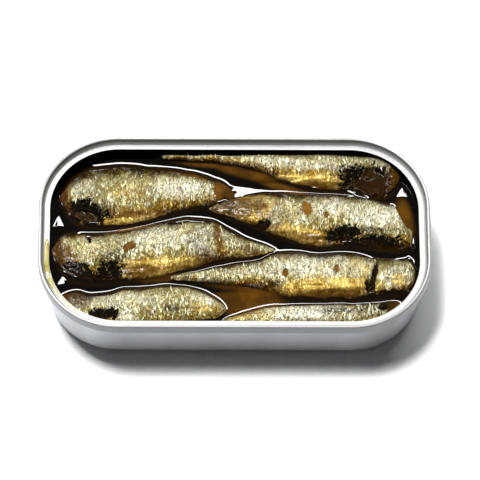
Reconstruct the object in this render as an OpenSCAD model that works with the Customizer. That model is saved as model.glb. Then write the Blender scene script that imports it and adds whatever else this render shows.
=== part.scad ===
// Opened sardine tin: a drawn body, the seamed ring left by the peeled lid,
// seven headless fish lying in a single layer, and the oil round them.
// Millimetres, +Z up, +X along the tin, origin at the centre of the foot.

/* [Tin] */
// Length over the seam
can_l = 105; // [95:1:140]
// Width over the seam
can_w = 59; // [48:1:80]
// Height from the foot to the crown of the seam
can_h = 20; // [16:0.5:30]
// Corner radius of the seam's outer face
corner_r = 21.6; // [16:0.1:23.9]
// Thickness of the sheet metal
sheet_t = 0.25; // [0.15:0.01:0.4]

/* [Body] */
// How far the body wall stands inside the seam's outer face
wall_inset = 1.3; // [1.1:0.1:2]
// How much each wall leans in from the neck to the foot
wall_draft = 1.1; // [0:0.1:2]
// Radius between the wall and the bottom
foot_r = 4.5; // [3:0.1:6]
// Width of the flat ring that the tin stands on
stand_w = 1.2; // [0.6:0.1:3]
// Depth of the plain recess in the bottom
panel_step = 0.8; // [0.3:0.1:1.5]

/* [Seam ring] */
// Height of the seam
seam_h = 2.9; // [2.5:0.1:3.4]
// Thickness of the seam
seam_t = 1.1; // [0.9:0.05:1.3]
// Depth of the ledge below the crown
ledge_drop = 1.8; // [1.4:0.1:2.2]
// How far the inner wall leans in on its way down to the ledge
chuck_lean = 0.6; // [0.3:0.1:0.9]
// Width of the ledge left by the peeled lid
ledge_w = 1.35; // [1:0.05:2.5]

/* [Filling] */
// Oil level below the crown
oil_drop = 4.4; // [3.5:0.1:8]
// Height of the fish backs above the oil
fish_rise = 1.6; // [0.6:0.1:2]
// Height of a tail above the bottom of the tin
tail_lift = 9; // [0:0.5:10]
// Gap between the outermost fish and the wall
wall_gap = 0.3; // [0.2:0.1:1]
// Gap between the longest fish's necks and the end walls at the foot
end_gap = 2; // [1:0.5:6]

/* [Hidden] */
$fn = 72;
metal_colour = [0.83, 0.84, 0.85];
oil_colour = [0.36, 0.24, 0.06];
fish_colour = [0.74, 0.68, 0.52];

// Centres of the four corner arcs
arc_x = can_l / 2 - corner_r;
arc_y = can_w / 2 - corner_r;

// The body's edge stands in a groove in the seam ring
groove_u = (seam_t - sheet_t) / 2;
groove_z = can_h - 1;
neck_z = can_h - seam_h - 0.3;
bend_z = can_h - ledge_drop - sheet_t - 0.15;
foot_u = wall_inset + wall_draft;
heel_u = foot_u + foot_r;
step_u = heel_u + stand_w;
floor_z = panel_step + sheet_t;
oil_z = can_h - oil_drop;

// Half the cavity at its narrowest, which the fish are laid out in
bay_x = can_l / 2 - foot_u - sheet_t - end_gap;
bay_y = can_w / 2 - foot_u - sheet_t;

// Each fish: neck [x, y], y half-way, tail [x, y], then its width at the neck,
// at the belly and at the tail, all as shares of half the cavity; the last
// value is how far the full width reaches towards the tail.
fish_rows = [
    [[-0.97, 0.46], 0.51, [0.00, 0.50], 0.54, 0.72, 0.24, 1.7],
    [[0.92, 0.65], 0.79, [-0.35, 0.93], 0.42, 0.46, 0.06, 0.8],
    [[-1.00, -0.24], -0.16, [0.21, -0.17], 0.54, 0.62, 0.05, 1.8],
    [[0.98, 0.10], 0.205, [-0.11, 0.30], 0.52, 0.61, 0.05, 2.1],
    [[1.00, -0.45], -0.43, [-0.33, -0.49], 0.37, 0.52, 0.05, 1.1],
    [[-0.94, -0.72], -0.77, [0.21, -0.76], 0.32, 0.46, 0.04, 1.7],
    [[0.90, -0.76], -0.90, [-0.05, -0.94], 0.26, 0.27, 0.04, 1.4]
];
ring_sides = 14;
ring_at = [0, 0.02, 0.07, 0.14, 0.22, 0.3, 0.4, 0.5, 0.6, 0.7, 0.8, 0.88, 0.95, 1];
belly_at = 0.34;
squareness = 0.55;

// A quarter arc in the plane of a wall section, from one angle to the next
function arc(u, z, r, from, to) = [
    for (k = [0:8]) let (a = from + (to - from) * k / 8) [u + r * cos(a), z + r * sin(a)]
];

function blend(a, b, t) = a + (b - a) * t * t * (3 - 2 * t);

// Runs a wall section round the tin: u is the distance in from the seam's outer face
module round_tin(section) {
    radial = [for (p = section) [corner_r - p[0], p[1]]];
    for (k = [0:3]) {
        x = k % 2 == 0 ? arc_x : arc_y;
        y = k % 2 == 0 ? arc_y : arc_x;
        rotate(90 * k) {
            translate([x, y, 0]) rotate_extrude(angle = 90) polygon(radial);
            translate([-x, y, 0]) rotate([90, 0, 90]) linear_extrude(2 * x) polygon(radial);
        }
    }
}

// The block between the corner centres, which the sections close on
module middle(low, high) {
    translate([-arc_x, -arc_y, low]) cube([2 * arc_x, 2 * arc_y, high - low]);
}

module can() {
    outside = concat(
        [[groove_u, groove_z], [groove_u, bend_z], [wall_inset, neck_z]],
        arc(heel_u, foot_r, foot_r, 180, 270),
        [[step_u, 0], [step_u + panel_step, panel_step], [corner_r, panel_step]]
    );
    inside = concat(
        [[corner_r, floor_z], [step_u + panel_step, floor_z], [step_u, sheet_t]],
        arc(heel_u, foot_r, foot_r - sheet_t, 270, 180),
        [[wall_inset + sheet_t, neck_z], [groove_u + sheet_t, bend_z], [groove_u + sheet_t, groove_z]]
    );
    color(metal_colour) {
        round_tin(concat(outside, inside));
        middle(panel_step, floor_z);
    }
}

module lid_ring() {
    crown_r = seam_t / 2;
    chuck_u = seam_t + chuck_lean;
    ledge_z = can_h - ledge_drop;
    section = concat(
        [[0, can_h - seam_h]],
        arc(crown_r, can_h - crown_r, crown_r, 180, 90),
        arc(crown_r, can_h - crown_r, crown_r, 90, 0),
        [[chuck_u, ledge_z], [chuck_u + ledge_w, ledge_z], [chuck_u + ledge_w, ledge_z - sheet_t]],
        [[groove_u + sheet_t, ledge_z - sheet_t], [groove_u + sheet_t, groove_z]],
        [[groove_u, groove_z], [groove_u, can_h - seam_h]]
    );
    color(metal_colour) round_tin(section);
}

module oil() {
    section = concat(
        [[corner_r, floor_z], [step_u + panel_step, floor_z], [step_u, sheet_t]],
        arc(heel_u, foot_r, foot_r - sheet_t, 270, 180),
        [[wall_u(oil_z), oil_z], [corner_r, oil_z]]
    );
    color(oil_colour) difference() {
        union() {
            round_tin(section);
            middle(floor_z, oil_z);
        }
        for (row = fish_rows) fish_body(row);
    }
}

// Where the wall's inner face is at a height, in from the seam's outer face
function wall_u(z) = z > foot_r
    ? wall_inset + sheet_t + wall_draft * (neck_z - z) / (neck_z - foot_r)
    : heel_u - sqrt(max(0, pow(foot_r - sheet_t, 2) - pow(foot_r - z, 2)));

// A fish that meets the wall is pressed flat against it
function pressed(p) =
    let (
        r = corner_r - wall_u(p[2]) - wall_gap,
        x = max(-arc_x - r, min(arc_x + r, p[0])),
        past = max(0, abs(x) - arc_x),
        reach = arc_y + sqrt(max(0, r * r - past * past))
    )
    [x, max(-reach, min(reach, p[1])), p[2]];

// Width along a fish, from the neck at t = 0 to the tail at t = 1
function fish_width(row, t) = bay_y * (
    t < belly_at
    ? blend(row[3], row[4], t / belly_at)
    : blend(row[4], row[5], pow((t - belly_at) / (1 - belly_at), row[6]))
);

// Both ends are rounded off over a short way
function end_close(t) = min(1, 0.72 + 6 * t, 0.55 + 9 * (1 - t));

function centre_y(row, t) =
    let (bow = 2 * row[1] - (row[0][1] + row[2][1]) / 2)
    bay_y * (row[0][1] * (1 - t) * (1 - t) + 2 * bow * t * (1 - t) + row[2][1] * t * t);

// One ring of points across a fish, a squarish oval
function fish_ring(row, t) =
    let (
        x = bay_x * (row[0][0] + (row[2][0] - row[0][0]) * t),
        low = floor_z + (t < 0.5 ? 0 : blend(0, tail_lift, 2 * t - 1)),
        high = oil_z + fish_rise * (t < 0.5 ? 1 : blend(1, 0.4, 2 * t - 1)),
        half_w = fish_width(row, t) * end_close(t) / 2,
        half_h = (high - low) / 2 / pow(cos(180 / ring_sides), squareness)
    )
    [for (k = [0:ring_sides - 1])
        let (a = 360 * (k + 0.5) / ring_sides - 90)
        pressed([
            x,
            centre_y(row, t) + half_w * sign(cos(a)) * pow(abs(cos(a)), squareness),
            (low + high) / 2 + half_h * sign(sin(a)) * pow(abs(sin(a)), squareness)
        ])
    ];

// A fish drawn from its rings; the rings turn the other way round when the neck is on the right
module fish_body(row) {
    rings = len(ring_at);
    n = ring_sides;
    flip = row[2][0] < row[0][0];
    points = [for (t = ring_at) each fish_ring(row, t)];
    sides = [for (i = [0:rings - 2], k = [0:n - 1])
        let (next = (k + 1) % n)
        each [
            [i * n + k, i * n + next, (i + 1) * n + next],
            [i * n + k, (i + 1) * n + next, (i + 1) * n + k]
        ]
    ];
    last = (rings - 1) * n;
    ends = [for (k = [1:n - 2]) each [[0, k + 1, k], [last, last + k, last + k + 1]]];
    faces = concat(sides, ends);
    polyhedron(points, flip ? faces : [for (face = faces) [for (k = [len(face) - 1:-1:0]) face[k]]]);
}

module fish(number) {
    color(fish_colour) fish_body(fish_rows[number - 1]);
}

can();
lid_ring();
oil();
fish(1);  // fish_1
fish(2);  // fish_2
fish(3);  // fish_3
fish(4);  // fish_4
fish(5);  // fish_5
fish(6);  // fish_6
fish(7);  // fish_7
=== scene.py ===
import math
import bmesh
import bpy
import numpy as np
from mathutils import Matrix, Vector


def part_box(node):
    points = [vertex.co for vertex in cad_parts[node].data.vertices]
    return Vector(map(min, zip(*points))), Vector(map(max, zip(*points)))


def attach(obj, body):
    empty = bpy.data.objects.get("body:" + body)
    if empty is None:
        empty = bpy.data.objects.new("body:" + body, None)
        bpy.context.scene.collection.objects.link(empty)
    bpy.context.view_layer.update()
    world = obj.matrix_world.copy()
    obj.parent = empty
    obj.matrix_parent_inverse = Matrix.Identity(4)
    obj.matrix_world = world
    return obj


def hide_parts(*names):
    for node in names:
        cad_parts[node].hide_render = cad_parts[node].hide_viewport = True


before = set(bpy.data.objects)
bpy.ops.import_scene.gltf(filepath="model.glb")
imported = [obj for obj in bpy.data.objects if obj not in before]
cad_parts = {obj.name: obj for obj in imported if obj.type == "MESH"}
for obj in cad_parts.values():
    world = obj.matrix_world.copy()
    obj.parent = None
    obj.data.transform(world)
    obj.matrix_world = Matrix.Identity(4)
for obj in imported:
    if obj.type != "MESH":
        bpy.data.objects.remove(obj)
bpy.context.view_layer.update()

mm = 0.001

cameraLook = {
    "distance": 1.3,
    "height": 60.04,  # degrees above the table
    "turn": -1.70,  # degrees round the tin
    "tilt": 1.64,  # degrees of roll
    "target": (0.00175, 0.00877, 0.0),
    "lens": 358.97,
    "sensor": 36,
    "clip": (0.05, 20),
}


def makeCamera():
    look = cameraLook
    up, side, roll = (math.radians(look[key]) for key in ("height", "turn", "tilt"))
    back = Vector((math.sin(side) * math.cos(up), -math.cos(side) * math.cos(up), math.sin(up)))
    level = Vector((math.cos(side), math.sin(side), 0))
    upright = back.cross(level)
    right = level * math.cos(roll) + upright * math.sin(roll)
    top = upright * math.cos(roll) - level * math.sin(roll)
    data = bpy.data.cameras.new("camera")
    data.lens = look["lens"]
    data.sensor_width = look["sensor"]
    data.clip_start, data.clip_end = look["clip"]
    camera = bpy.data.objects.new("camera", data)
    bpy.context.scene.collection.objects.link(camera)
    facing = Matrix((right, top, back)).transposed().to_4x4()
    camera.matrix_world = Matrix.Translation(Vector(look["target"]) + back * look["distance"]) @ facing
    bpy.context.scene.camera = camera


makeCamera()
print("camera is in place")


def smooth(t):
    t = np.clip(t, 0, 1)
    return t * t * (3 - 2 * t)


def easeRun(knots, values, at):
    # a curve through the given stations that never overshoots them
    knots, values = np.array(knots, float), np.array(values, float)
    step = np.diff(knots)
    rise = np.diff(values) / step
    slope = np.zeros(len(knots))
    for i in range(1, len(knots) - 1):
        if rise[i - 1] * rise[i] > 0:
            slope[i] = 2 * rise[i - 1] * rise[i] / (rise[i - 1] + rise[i])
    slope[0], slope[-1] = rise[0], rise[-1]
    k = np.clip(np.searchsorted(knots, at, side="right") - 1, 0, len(step) - 1)
    t = (at - knots[k]) / step[k]
    return (
        values[k] * (1 + 2 * t) * (1 - t) ** 2
        + slope[k] * step[k] * t * (1 - t) ** 2
        + values[k + 1] * t * t * (3 - 2 * t)
        + slope[k + 1] * step[k] * t * t * (t - 1)
    )


def grain(x, y, size, seed):
    # soft random relief from -1 to 1, with lumps about size across
    count = 128
    start = 500  # keeps the places above zero
    table = np.random.default_rng(seed).random((count, count)) * 2 - 1
    gx, gy = np.asarray(x) / size + start, np.asarray(y) / size + start
    ix, iy = np.floor(gx).astype(int), np.floor(gy).astype(int)
    tx, ty = smooth(gx - ix), smooth(gy - iy)
    left, right = ix % count, (ix + 1) % count
    near, far = iy % count, (iy + 1) % count
    low = table[left, near] * (1 - tx) + table[right, near] * tx
    high = table[left, far] * (1 - tx) + table[right, far] * tx
    return low * (1 - ty) + high * ty


def inSpot(x, y, centreX, centreY, halfLong, halfWide, turn):
    # 0 at the middle of a turned ellipse, 1 on its edge
    c, s = math.cos(math.radians(turn)), math.sin(math.radians(turn))
    along = (x - centreX) * c + (y - centreY) * s
    across = (y - centreY) * c - (x - centreX) * s
    return np.sqrt((along / halfLong) ** 2 + (across / halfWide) ** 2)


def tubeFaces(rings, count):
    # quads round a tube of rings, and a cap at each end
    faces = []
    for i in range(rings - 1):
        for k in range(count):
            m = (k + 1) % count
            faces.append((i * count + k, (i + 1) * count + k, (i + 1) * count + m, i * count + m))
    faces.append(tuple(range(count)))
    faces.append(tuple((rings - 1) * count + k for k in range(count - 1, -1, -1)))
    return faces


def makeMesh(name, points, faces):
    mesh = bpy.data.meshes.new(name)
    mesh.from_pydata((np.asarray(points) * mm).tolist(), [], faces)
    mesh.update()
    mesh.shade_smooth()
    piece = bpy.data.objects.new(name, mesh)
    bpy.context.scene.collection.objects.link(piece)
    return piece


def giveValues(piece, name, values):
    layer = piece.data.attributes.new(name, "FLOAT", "POINT")
    layer.data.foreach_set("value", np.asarray(values, np.float32))


def applyModifiers(piece):
    # the evaluated shape becomes the piece's own mesh
    graph = bpy.context.evaluated_depsgraph_get()
    shaped = piece.evaluated_get(graph)
    done = bpy.data.meshes.new_from_object(shaped, preserve_all_data_layers=True, depsgraph=graph)
    piece.modifiers.clear()
    piece.data = done


def addNode(tree, kind, **settings):
    node = tree.nodes.new(kind)
    for key, value in settings.items():
        setattr(node, key, value)
    return node


def setInputs(node, **values):
    for key, value in values.items():
        node.inputs[key.replace("_", " ")].default_value = value
    return node


def feed(tree, socket, value):
    # a socket takes another node's output, a colour or a number
    if isinstance(value, bpy.types.NodeSocket):
        tree.links.new(value, socket)
    elif socket.type == "RGBA":
        socket.default_value = (*value, 1)
    else:
        socket.default_value = value


def addMath(tree, operation, first, second=0.5, clamp=False):
    node = addNode(tree, "ShaderNodeMath", operation=operation, use_clamp=clamp)
    feed(tree, node.inputs[0], first)
    feed(tree, node.inputs[1], second)
    return node.outputs[0]


def times(tree, first, second):
    return addMath(tree, "MULTIPLY", first, second)


def plus(tree, first, second, clamp=False):
    return addMath(tree, "ADD", first, second, clamp)


def minus(tree, first, second, clamp=False):
    return addMath(tree, "SUBTRACT", first, second, clamp)


def opposite(tree, value):
    return minus(tree, 1.0, value)


def greatest(tree, first, second):
    return addMath(tree, "MAXIMUM", first, second)


def addRange(tree, value, fromLow, fromHigh, toLow=0.0, toHigh=1.0):
    node = addNode(tree, "ShaderNodeMapRange", interpolation_type="SMOOTHSTEP")
    ends = {"Value": value, "From Min": fromLow, "From Max": fromHigh, "To Min": toLow, "To Max": toHigh}
    for name, end in ends.items():
        feed(tree, node.inputs[name], end)
    return node.outputs[0]


def addMix(tree, share, first, second, blend="MIX"):
    node = addNode(tree, "ShaderNodeMix", data_type="RGBA", blend_type=blend)
    parts = {"Factor": share, "A": first, "B": second}
    for socket in node.inputs:
        if socket.enabled and socket.name in parts:
            feed(tree, socket, parts[socket.name])
    return next(socket for socket in node.outputs if socket.enabled)


def addValue(tree, name):
    return addNode(tree, "ShaderNodeAttribute", attribute_name=name).outputs["Fac"]


def addRamp(tree, value, stops):
    ramp = addNode(tree, "ShaderNodeValToRGB")
    tree.links.new(value, ramp.inputs["Fac"])
    while len(ramp.color_ramp.elements) < len(stops):
        ramp.color_ramp.elements.new(0.5)
    for element, (at, colour) in zip(ramp.color_ramp.elements, stops):
        element.position = at
        element.color = (*colour, 1)
    return ramp.outputs["Color"]


def addBump(tree, height, depth):
    bump = addNode(tree, "ShaderNodeBump")
    setInputs(bump, Strength=1.0, Distance=depth * mm)
    tree.links.new(height, bump.inputs["Height"])
    return bump.outputs["Normal"]


def newMaterial(name):
    material = bpy.data.materials.new(name)
    material.use_nodes = True
    tree = material.node_tree
    tree.nodes.clear()
    shader = addNode(tree, "ShaderNodeBsdfPrincipled")
    output = addNode(tree, "ShaderNodeOutputMaterial")
    tree.links.new(shader.outputs["BSDF"], output.inputs["Surface"])
    return material, tree, shader


def makeStreakGroup():
    # soft streaks of one size, stretched along one direction, and thin lines along them
    group = bpy.data.node_groups.new("streaks", "ShaderNodeTree")
    for name, kind, value in (
        ("Spacing", "NodeSocketFloat", 1.0),
        ("Stretch", "NodeSocketVector", (1, 1, 1)),
        ("Bend", "NodeSocketFloat", 0.3),
        ("Low", "NodeSocketFloat", 0.4),
        ("High", "NodeSocketFloat", 0.6),
    ):
        socket = group.interface.new_socket(name, in_out="INPUT", socket_type=kind)
        socket.default_value = value
    for name in ("Value", "Lines"):
        group.interface.new_socket(name, in_out="OUTPUT", socket_type="NodeSocketFloat")
    entry = addNode(group, "NodeGroupInput")
    leave = addNode(group, "NodeGroupOutput")
    place = addNode(group, "ShaderNodeTexCoord")
    scaled = addNode(group, "ShaderNodeVectorMath", operation="SCALE")
    stretched = addNode(group, "ShaderNodeVectorMath", operation="MULTIPLY")
    noise = addNode(group, "ShaderNodeTexNoise")
    setInputs(noise, Scale=1.0, Detail=3.0, Roughness=0.55)
    join = group.links.new
    join(place.outputs["Object"], scaled.inputs[0])
    join(addMath(group, "DIVIDE", 1 / mm, entry.outputs["Spacing"]), scaled.inputs["Scale"])
    join(scaled.outputs[0], stretched.inputs[0])
    join(entry.outputs["Stretch"], stretched.inputs[1])
    join(stretched.outputs[0], noise.inputs["Vector"])
    join(entry.outputs["Bend"], noise.inputs["Distortion"])
    spread = addRange(group, noise.outputs["Fac"], entry.outputs["Low"], entry.outputs["High"])
    join(spread, leave.inputs["Value"])
    # a line runs where the noise passes its middle
    fromMiddle = addMath(group, "ABSOLUTE", minus(group, noise.outputs["Fac"], 0.5))
    join(addRange(group, fromMiddle, 0.0, 0.035, 1.0, 0.0), leave.inputs["Lines"])
    return group


streakGroup = makeStreakGroup()


def addStreaks(tree, spacing, stretch=(1, 1, 1), bend=0.3, low=0.4, high=0.6, output="Value"):
    node = addNode(tree, "ShaderNodeGroup", node_tree=streakGroup)
    setInputs(node, Spacing=spacing, Stretch=stretch, Bend=bend, Low=low, High=high)
    return node.outputs[output]


def newShapeTree(name, inputs):
    # a Geometry Nodes tree with a geometry, named inputs and a material
    tree = bpy.data.node_groups.new(name, "GeometryNodeTree")
    tree.interface.new_socket("Geometry", in_out="INPUT", socket_type="NodeSocketGeometry")
    for title, kind in inputs.items():
        tree.interface.new_socket(title, in_out="INPUT", socket_type="NodeSocket" + kind)
    tree.interface.new_socket("Material", in_out="INPUT", socket_type="NodeSocketMaterial")
    tree.interface.new_socket("Geometry", in_out="OUTPUT", socket_type="NodeSocketGeometry")
    return tree, addNode(tree, "NodeGroupInput")


def endShapeTree(tree, entry, geometry):
    # real geometry with the material on it leaves the tree
    real = addNode(tree, "GeometryNodeRealizeInstances")
    paint = addNode(tree, "GeometryNodeSetMaterial")
    leave = addNode(tree, "NodeGroupOutput")
    tree.links.new(geometry, real.inputs["Geometry"])
    tree.links.new(real.outputs["Geometry"], paint.inputs["Geometry"])
    tree.links.new(entry.outputs["Material"], paint.inputs["Material"])
    tree.links.new(paint.outputs["Geometry"], leave.inputs["Geometry"])


def runTree(piece, tree, **values):
    modifier = piece.modifiers.new(tree.name, "NODES")
    modifier.node_group = tree
    for item in tree.interface.items_tree:
        if item.item_type == "SOCKET" and item.in_out == "INPUT" and item.name in values:
            modifier[item.identifier] = values[item.name]
    applyModifiers(piece)


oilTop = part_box("oil")[1].z / mm
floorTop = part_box("fish_1")[0].z / mm

# stations: place along the tin, front edge, back edge at the oil, height of the back above the oil, mm
# belly and spine: shares of the width that are gold-brown in front and dark behind
# marks: kind, centre x and y, half length, half width, turn in degrees, strength
fishes = {
    "fish_1": {
        "stations": [
            (-46.9, 10.5, 14.0, 1.0), (-44, 6.2, 18.3, 1.7), (-39, 3.2, 21.4, 2.1),
            (-30.5, 3.2, 22.4, 2.3), (-22, 5.4, 21.6, 2.3), (-16, 7.6, 21.2, 2.2), (-9, 9.7, 19.6, 2.0),
            (-4.5, 10.5, 18.0, 1.5), (0.2, 11.5, 15.4, 0.8),
        ],
        "neckAt": -1, "neckRound": 4, "tailRound": 5, "slant": 0, "belly": 0.24, "spine": 0.27, "seed": 11,
        "marks": [
            ("paintedShine", -15, 14.8, 8.5, 3.0, -6, 0.75), ("paintedShine", -41, 14.5, 3, 2.6, 0, 0.4),
            ("gold", -29, 13.6, 4.5, 2.6, 0, 0.5), ("crack", -39, 15.5, 6, 4.5, 0, 0.35),
            ("gold", -29, 5.2, 10, 2.4, 8, 1.0), ("film", -27, 6.8, 7, 1.1, 6, 0.8),
            ("film", -11, 20.0, 13, 1.5, -14, 0.85), ("tear", -2.0, 14.2, 3.3, 4.6, 0, 1.0),
            ("pit", -39.6, 6.6, 2.8, 1.2, -12, 1.0), ("dark", -40, 7.6, 6.0, 3.2, -12, 1.0),
            ("crack", -37, 8.4, 6, 3.0, -12, 0.8),
        ],
    },
    "fish_2": {
        "stations": [
            (-19.5, 24.9, 25.7, 1.0), (-6, 23.9, 25.6, 1.4), (1, 22.6, 25.7, 1.6), (7, 20.9, 25.9, 1.8),
            (12, 18.2, 26.1, 1.8), (19, 15.3, 26.6, 1.9), (28, 14.4, 26.6, 2.0), (36, 12.2, 26.2, 2.0),
            (41, 13.0, 24.4, 1.8), (44.6, 16.5, 21.4, 1.2),
        ],
        "neckAt": 1, "neckRound": 4, "tailRound": 3, "slant": 0, "belly": 0.42, "spine": 0.05, "seed": 22,
        "marks": [
            ("paintedShine", 18, 22.5, 16, 1.6, -4, 0.5), ("paintedShine", 41, 22.5, 3, 2.0, -45, 0.5),
            ("film", 20, 15.8, 10, 1.5, -8, 0.85), ("gold", 22, 17.2, 11, 2.2, -5, 1.0),
            ("dark", 4.5, 21.6, 0.9, 0.4, 0, 1.0), ("crack", 35.5, 17, 8.6, 6.4, 0, 1.0),
            ("pit", 36.8, 17.2, 4.9, 3.7, 0, 1.0), ("dark", 35.6, 17.2, 7.0, 5.6, 0, 0.95),
            ("film", 43, 15.5, 3, 3.5, 20, 0.8),
        ],
    },
    "fish_3": {
        "stations": [
            (-48.8, -6.5, -1.9, 1.0), (-46, -10.5, 1.0, 1.6), (-43.5, -13.2, 1.6, 1.9),
            (-38, -14.2, 1.3, 2.1), (-30.6, -13.8, 2.0, 2.3), (-21, -12.4, 4.5, 2.4),
            (-12, -10.1, 6.1, 2.3), (-6, -7.6, 5.5, 2.0), (-2, -6.7, 3.0, 1.6), (5, -6.0, -1.0, 1.4),
            (10.4, -4.3, -3.0, 0.9),
        ],
        "neckAt": -1, "neckRound": 4, "tailRound": 3, "slant": 0, "belly": 0.27, "spine": 0.17, "seed": 33,
        "marks": [
            ("paintedShine", -20, -1.0, 9, 3.6, 4, 0.6), ("paintedShine", -9, -1.5, 3.4, 4.2, 10, 0.8),
            ("paintedShine", -38, -3.5, 4, 3.0, 0, 0.4), ("gold", -20, -9.2, 13, 2.4, 4, 0.9),
            ("film", -25, -10.6, 5, 1.5, 4, 0.85), ("film", -14, -8.8, 6, 1.0, 6, 0.5),
            ("film", -4.4, 0.2, 1.1, 4.6, 8, 0.95), ("tear", -28.2, -3.4, 1.9, 1.3, 25, 1.0),
            ("film", -45.5, -7, 3.2, 5.5, 25, 0.9), ("dark", -41.5, -11.6, 6, 2.8, -24, 1.0),
            ("dark", -33.5, -11.2, 4.5, 3.0, 10, 0.9), ("crack", -33, -7.5, 5, 2.8, 20, 0.9),
            ("dark", -39.2, 0.6, 0.45, 2.6, 12, 1.0), ("crack", -8.0, -5, 2.8, 1.7, 20, 0.8),
            ("crack", -9, 0, 4, 4, 20, 0.6), ("dark", -12, 5.2, 8, 1.0, 8, 0.8),
            ("film", 4, -3.8, 4, 1.2, -30, 0.7),
        ],
    },
    "fish_4": {
        "stations": [
            (-6.5, 8.2, 9.8, 0.9), (0, 5.9, 12.8, 1.6), (5, 4.0, 13.7, 1.8), (9, 1.8, 14.0, 2.1),
            (13, 0.3, 14.0, 2.3), (19, -2.0, 14.0, 2.4), (24, -2.8, 13.8, 2.4), (30, -2.4, 13.5, 2.4),
            (36, -3.2, 12.6, 2.3), (42, -3.6, 11.4, 2.1), (46.0, -3.4, 10.8, 1.7),
        ],
        "neckAt": 1, "neckRound": 1.2, "tailRound": 3, "slant": -2.4, "belly": 0.25,
        "spine": 0.18, "seed": 44, "dryNeck": True,
        "marks": [
            ("paintedShine", 38, 6.0, 7, 4.2, 0, 0.8), ("paintedShine", 27, 8.6, 6, 3.0, 0, 0.6),
            ("paintedShine", 13, 6.5, 5, 3.6, 0, 0.4), ("film", 1, 9.4, 7, 3.6, 0, 0.8),
            ("crack", 1, 9.5, 7, 3.6, 0, 0.6), ("gold", 2, 9.0, 9, 4.4, 0, 1.0),
            ("tear", 19.6, 8.2, 1.3, 2.4, 8, 1.0), ("tear", 24.7, 6.4, 0.6, 1.1, 0, 1.0),
            ("gold", 18, 0.7, 9, 2.0, -14, 0.9), ("film", 21, -0.4, 6, 1.0, -12, 0.7),
            ("dark", 7.4, 3.6, 3.4, 1.4, 38, 1.0), ("crack", 12, 6.5, 3.4, 3.6, 0, 0.5),
            ("dark", 29, 0.8, 5, 2.1, 14, 1.0), ("dark", 38, -1.6, 8, 1.9, -2, 1.0),
            ("crack", 35, 1.6, 9, 1.4, 0, 0.9),
        ],
    },
    "fish_5": {
        "stations": [
            (-17, -12.8, -11.6, 0.9), (-6, -13.8, -9.4, 1.4), (1, -14.8, -7.7, 1.6),
            (5.4, -15.3, -7.1, 1.7), (9.7, -16.6, -4.8, 1.9), (15.4, -18.5, -4.2, 2.1),
            (22, -18.7, -4.8, 2.2), (30, -18.7, -4.6, 2.2), (38, -18.3, -5.9, 2.1),
            (44, -16.8, -6.2, 1.9), (48.1, -15.0, -6.6, 1.5),
        ],
        "neckAt": 1, "neckRound": 1.5, "tailRound": 3, "slant": 0, "belly": 0.24,
        "spine": 0.2, "seed": 55, "dryNeck": True,
        "marks": [
            ("paintedShine", 20, -9.5, 14, 3.2, 2, 0.7), ("paintedShine", 0, -12, 8, 1.4, 10, 0.4),
            ("paintedShine", 42, -12.5, 3.4, 2.6, 0, 0.6), ("gold", 25, -15.4, 12.5, 2.7, 2, 1.0),
            ("film", 25, -17.4, 12, 1.2, 2, 0.85), ("gold", 33, -11, 3.4, 4.0, 0, 0.4),
            ("tear", 13.5, -11.2, 0.9, 1.3, 0, 1.0), ("tear", 27.2, -10.0, 0.7, 1.5, 0, 1.0),
            ("crease", 37.3, -11.5, 0.7, 3.8, -12, 1.0), ("dark", 36.0, -15.0, 1.4, 1.6, 0, 0.9),
            ("gold", 43.5, -13.2, 1.8, 1.6, 0, 0.9), ("crack", 9.5, -14.6, 4.0, 1.2, 4, 1.0),
            ("dark", 40, -17.6, 6, 1.3, 8, 0.9),
        ],
    },
    "fish_6": {
        "stations": [
            (-45.8, -19.8, -17.0, 0.8), (-42, -23.6, -16.6, 1.3), (-38, -25.6, -17.4, 1.4),
            (-32.5, -26.6, -16.6, 1.7), (-29.5, -26.8, -15.5, 1.8), (-23, -26.8, -15.3, 1.9),
            (-17.7, -26.6, -14.6, 1.9), (-11, -26.0, -15.4, 1.8), (-6, -25.2, -17.8, 1.5),
            (-2.4, -23.6, -20.2, 1.1),
        ],
        "neckAt": -1, "neckRound": 3, "tailRound": 3, "slant": 0, "belly": 0.1, "spine": 0.12, "seed": 66,
        "marks": [
            ("paintedShine", -30, -19.5, 9, 2.4, 0, 0.45), ("paintedShine", -29, -24.2, 2.4, 1.4, 0, 0.9),
            ("paintedShine", -8, -19.5, 4, 1.4, -25, 0.6), ("gold", -8, -21.8, 6, 1.2, 0, 0.7),
            ("dark", -34.5, -23.6, 3.6, 1.6, 0, 1.0), ("crack", -16.5, -22.4, 2.6, 1.0, 0, 0.9),
            ("film", -42.5, -18.8, 3.6, 3.6, 0, 0.85), ("crack", -41, -18.5, 2.6, 3.4, 0, 0.7),
        ],
    },
    "fish_7": {
        "stations": [
            (-3, -25.8, -24.6, 0.9), (1, -26.6, -23.5, 1.2), (10, -26.9, -21.0, 1.5),
            (19, -27.0, -20.4, 1.6), (33, -26.8, -20.1, 1.7), (38, -25.2, -19.8, 1.6),
            (43.6, -21.0, -18.9, 0.9),
        ],
        "neckAt": 1, "neckRound": 4, "tailRound": 3, "slant": 0, "belly": 0.06, "spine": 0.1, "seed": 77,
        "marks": [
            ("paintedShine", 18, -23, 13, 2.4, 2, 0.95), ("crack", 27, -22.6, 4.2, 1.8, 0, 0.9),
            ("crack", 36, -21.8, 4.0, 2.2, 0, 1.0), ("dark", 41, -20.2, 3.4, 1.6, 30, 0.9),
            ("gold", 4, -23.6, 5, 1.4, 12, 0.8),
        ],
    },
}

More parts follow.
